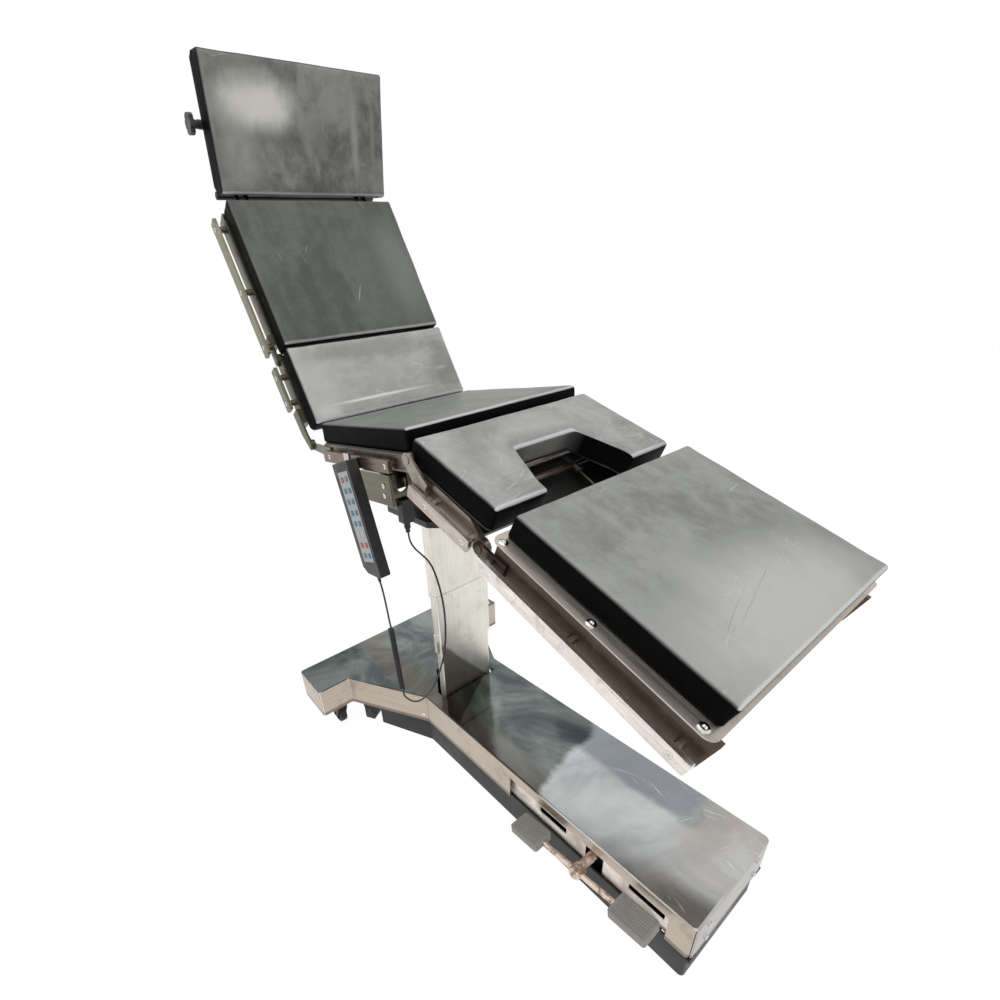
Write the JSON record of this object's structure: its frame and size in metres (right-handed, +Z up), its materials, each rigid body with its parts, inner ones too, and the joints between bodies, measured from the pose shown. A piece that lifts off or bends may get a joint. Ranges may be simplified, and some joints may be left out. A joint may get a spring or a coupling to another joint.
{
  "type": "operating table",
  "caption": "Adjustable operating table with a padded sectional top, telescopic column, wheeled T-shaped base, pedal and wired hand control.",
  "frame": {"origin": "on the floor under the middle of the whole table", "axes": "+X to the foot end, +Y to the side away from the pedal, +Z up"},
  "size_m": [1.474, 0.833, 1.9217],
  "materials": {
    "stainless": "brushed stainless sheet",
    "chrome": "bright chromed steel",
    "black_paint": "black powder coat",
    "cast_frame": "grey enamel on welded steel",
    "copper": "tarnished plated steel",
    "upholstery": "black artificial leather",
    "rubber": "black rubber",
    "tread_rubber": "grey rubber",
    "plastic": "black plastic",
    "keypad": "printed membrane",
    "cord": "black cable"
  },
  "bodies": {
    "base": {"base_frame": "black_paint", "head_cover": "stainless", "foot_cover": "stainless", "corner_trims": "rubber", "pedal_recess_plate": "stainless", "cover_screws": "chrome", "power_inlet": "plastic", "column_cover_lower": "stainless", "lift_cylinder": "cast_frame"},
    "pedal": {"pedal_shaft": "copper", "pedal_treads": "tread_rubber"},
    "brakes": {"brake_feet": "rubber"},
    "castor_1": {"castor_fork_1": "black_paint"},
    "wheel_1": {"castor_wheel_1": "rubber"},
    "castor_2": {"castor_fork_2": "black_paint"},
    "wheel_2": {"castor_wheel_2": "rubber"},
    "wheel_3": {"foot_wheel_1": "rubber"},
    "wheel_4": {"foot_wheel_2": "rubber"},
    "column_middle": {"column_cover_middle": "stainless"},
    "lift": {"column_cover_upper": "stainless", "column_collar": "plastic", "lift_piston": "chrome", "column_head": "cast_frame", "tilt_shaft": "chrome"},
    "gimbal": {"gimbal_block": "cast_frame"},
    "table": {"saddle_ring": "stainless", "table_frame": "stainless", "table_deck": "black_paint", "table_pad": "upholstery", "table_rails": "chrome", "handset_body": "plastic", "handset_keypad": "keypad", "handset_hook": "chrome", "handset_relief": "plastic", "cord_lead": "cord", "cord_coil": "cord", "cord_loop": "cord", "cord_plug": "plastic", "cord_socket": "plastic"},
    "lower_back": {"lower_back_frame": "stainless", "lower_back_deck": "black_paint", "lower_back_pad": "upholstery", "lower_back_rails": "chrome"},
    "upper_back": {"upper_back_frame": "stainless", "upper_back_deck": "black_paint", "upper_back_pad": "upholstery", "upper_back_rails": "chrome"},
    "head": {"head_frame": "black_paint", "head_deck": "black_paint", "head_pad": "upholstery"},
    "head_clamp": {"head_knob": "plastic"},
    "seat": {"seat_frame": "stainless", "seat_deck": "black_paint", "seat_pad": "upholstery", "seat_rails": "chrome"},
    "leg": {"leg_frame": "stainless", "leg_plate": "stainless", "leg_pad": "upholstery", "leg_rails": "chrome"}
  },
  "joints": [
    {"name": "lift_slide", "type": "slide", "parent": "base", "child": "lift", "axis": [0, 0, 1], "range_m": [-0.2, 0.06]},
    {"name": "middle_cover_slide", "type": "slide", "parent": "base", "child": "column_middle", "axis": [0, 0, 1], "range_m": [-0.1, 0.03]},
    {"name": "foot_tilt", "type": "hinge", "parent": "lift", "child": "gimbal", "pos_m": [-0.19, 0, 0.925], "axis": [0, -1, 0], "range_deg": [-22, 14]},
    {"name": "side_tilt", "type": "hinge", "parent": "gimbal", "child": "table", "pos_m": [-0.19, 0, 0.925], "axis": [0.9976, 0, 0.0698], "range_deg": [-14, 14]},
    {"name": "lower_back_hinge", "type": "hinge", "parent": "table", "child": "lower_back", "pos_m": [-0.391, 0, 1.027], "axis": [0, 1, 0], "range_deg": [-75, 6]},
    {"name": "upper_back_hinge", "type": "hinge", "parent": "lower_back", "child": "upper_back", "pos_m": [-0.52567, 0, 1.23927], "axis": [0, 1, 0], "range_deg": [-30, 0]},
    {"name": "head_hinge", "type": "hinge", "parent": "upper_back", "child": "head", "pos_m": [-0.7249, 0, 1.62855], "axis": [0, 1, 0], "range_deg": [-64, 10]},
    {"name": "head_clamp_turn", "type": "hinge", "parent": "head", "child": "head_clamp", "pos_m": [-0.71876, -0.25, 1.79387], "axis": [0, -1, 0], "range_deg": [-180, 180]},
    {"name": "seat_hinge", "type": "hinge", "parent": "table", "child": "seat", "pos_m": [0.08, 0, 1.058], "axis": [0, 1, 0], "range_deg": [-24, 15]},
    {"name": "leg_hinge", "type": "hinge", "parent": "seat", "child": "leg", "pos_m": [0.2747, 0, 0.922], "axis": [0, 1, 0], "range_deg": [-14, 60]},
    {"name": "pedal_rock", "type": "hinge", "parent": "base", "child": "pedal", "pos_m": [0.488, -0.14, 0.148], "axis": [0, 1, 0], "range_deg": [0, 14]},
    {"name": "brake_slide", "type": "slide", "parent": "base", "child": "brakes", "axis": [0, 0, -1], "range_m": [0, 0.0035]},
    {"name": "castor_1_swivel", "type": "hinge", "parent": "base", "child": "castor_1", "pos_m": [-0.45, -0.34, 0.12], "axis": [0, 0, 1], "continuous": true},
    {"name": "castor_1_spin", "type": "hinge", "parent": "castor_1", "child": "wheel_1", "pos_m": [-0.468, -0.34, 0.038], "axis": [0, 1, 0], "continuous": true},
    {"name": "castor_2_swivel", "type": "hinge", "parent": "base", "child": "castor_2", "pos_m": [-0.45, 0.34, 0.12], "axis": [0, 0, 1], "continuous": true},
    {"name": "castor_2_spin", "type": "hinge", "parent": "castor_2", "child": "wheel_2", "pos_m": [-0.468, 0.34, 0.038], "axis": [0, 1, 0], "continuous": true},
    {"name": "foot_wheel_1_spin", "type": "hinge", "parent": "base", "child": "wheel_3", "pos_m": [0.61, -0.104, 0.038], "axis": [0, 1, 0], "continuous": true},
    {"name": "foot_wheel_2_spin", "type": "hinge", "parent": "base", "child": "wheel_4", "pos_m": [0.61, 0.104, 0.038], "axis": [0, 1, 0], "continuous": true}
  ],
  "couplings": [
    {"joint": "middle_cover_slide", "follows": "lift_slide", "ratio": 0.5},
    {"joint": "brake_slide", "follows": "pedal_rock", "m_per_rad": 0.014324}
  ]
}
